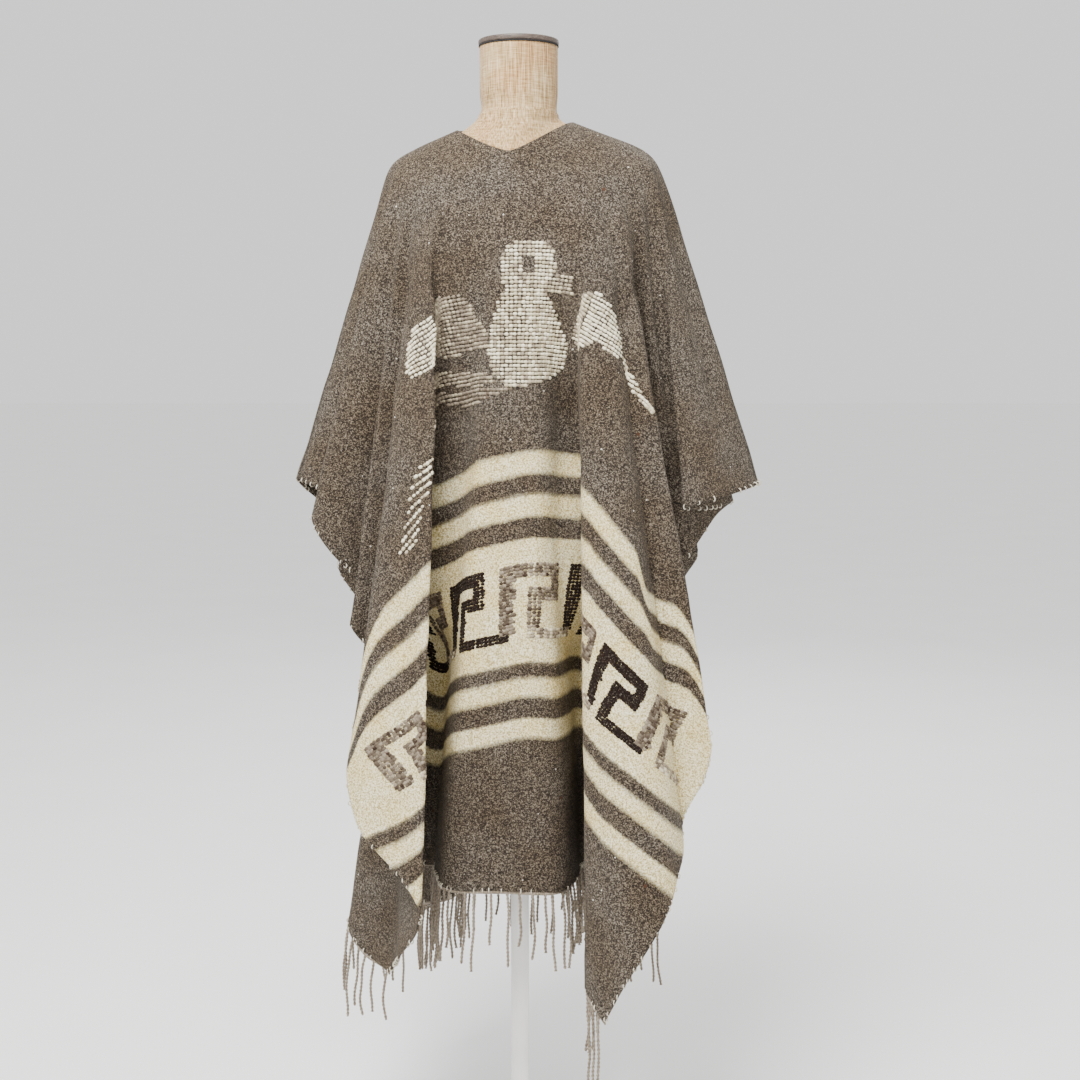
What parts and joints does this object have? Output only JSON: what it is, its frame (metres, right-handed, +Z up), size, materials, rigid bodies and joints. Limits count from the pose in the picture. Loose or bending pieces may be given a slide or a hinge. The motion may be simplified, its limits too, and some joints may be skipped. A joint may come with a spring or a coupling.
{
  "type": "wool poncho on dress form",
  "caption": "Heavy woven wool poncho with cream stripes, a stepped key band, an inlaid bird and a fringe, on a linen dress form",
  "frame": {"origin": "middle of the underside of the round base plate, on the floor", "axes": "+Z up, -Y the front of the garment, +X the side at a front viewer's right"},
  "size_m": [0.6236, 0.4738, 1.517],
  "materials": {
    "wool": "heavy felted wool cloth, undyed heather",
    "wool_fringe": "twisted wool warp ends",
    "linen": "plain linen cover",
    "dark_wood": "stained and waxed",
    "white_metal": "satin powder coat"
  },
  "bodies": {
    "root": {"poncho_front": "wool", "poncho_back": "wool", "fringe_front": "wool_fringe", "fringe_back": "wool_fringe", "form_body": "linen", "neck_cap": "dark_wood", "pole": "white_metal", "base_plate": "white_metal"}
  },
  "joints": []
}
